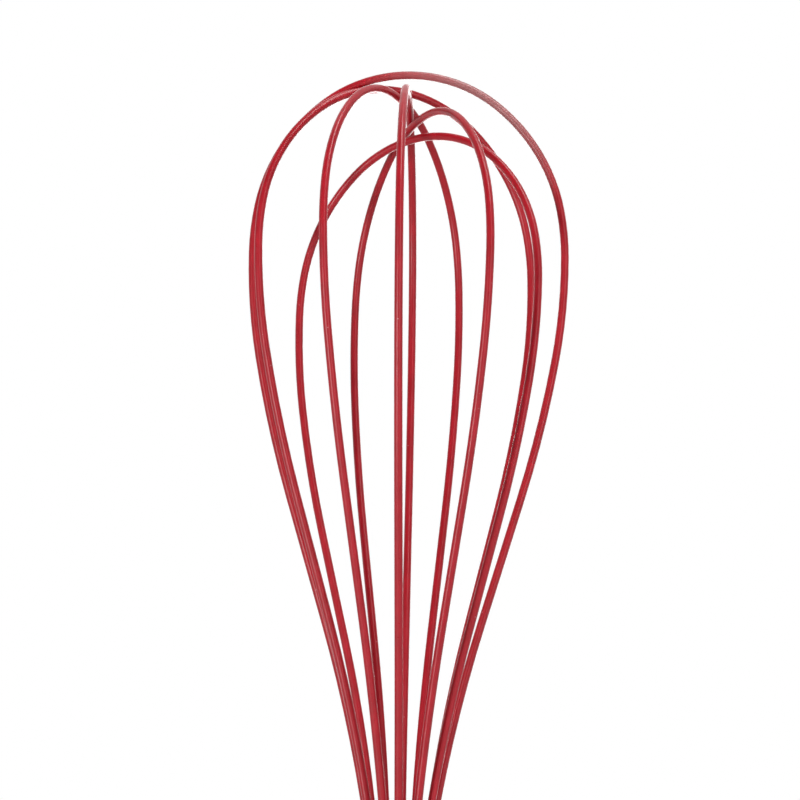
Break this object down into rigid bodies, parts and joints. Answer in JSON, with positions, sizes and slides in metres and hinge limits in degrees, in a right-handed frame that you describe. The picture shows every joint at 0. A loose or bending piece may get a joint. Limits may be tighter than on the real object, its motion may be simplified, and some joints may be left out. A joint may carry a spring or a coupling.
{
  "type": "balloon whisk",
  "caption": "Balloon whisk: looped wires in red silicone sleeves on a round steel handle, with a hanging ring that swings at its end.",
  "frame": {"origin": "on the whisk's axis, at the middle of the straight grip of the handle", "axes": "+Z along the axis from the handle to the wire head; X is the hanging ring's hinge axis, and the widest loop lies close to XZ"},
  "size_m": [0.0798, 0.0746, 0.3297],
  "materials": {
    "red_silicone": "satin red silicone coating with a soft sheen",
    "steel_wire": "drawn stainless spring wire",
    "seal_silicone": "moulded red silicone",
    "nylon": "natural white nylon",
    "band_steel": "plain cold-rolled stainless",
    "resin": "amber epoxy",
    "brushed_tube": "satin, brushed round the tube",
    "polished_steel": "polished stainless",
    "cap_steel": "polished stainless",
    "ring_steel": "polished stainless wire"
  },
  "bodies": {
    "whisk": {"loop_1_wire": "steel_wire", "loop_1_sleeve": "red_silicone", "loop_2_wire": "steel_wire", "loop_2_sleeve": "red_silicone", "loop_3_wire": "steel_wire", "loop_3_sleeve": "red_silicone", "loop_4_wire": "steel_wire", "loop_4_sleeve": "red_silicone", "loop_5_wire": "steel_wire", "loop_5_sleeve": "red_silicone", "loop_6_wire": "steel_wire", "loop_6_sleeve": "red_silicone", "mouth_seal": "seal_silicone", "wire_holder": "nylon", "crimp_band": "band_steel", "potting_resin": "resin", "handle_tube": "brushed_tube", "mouth_collar": "polished_steel", "end_cap": "cap_steel"},
    "hanger": {"hanging_ring": "ring_steel"}
  },
  "joints": [
    {"name": "ring_swing", "type": "hinge", "parent": "whisk", "child": "hanger", "pos_m": [0, 0, -0.0601], "axis": [1, 0, 0], "range_deg": [-140, 140]}
  ]
}
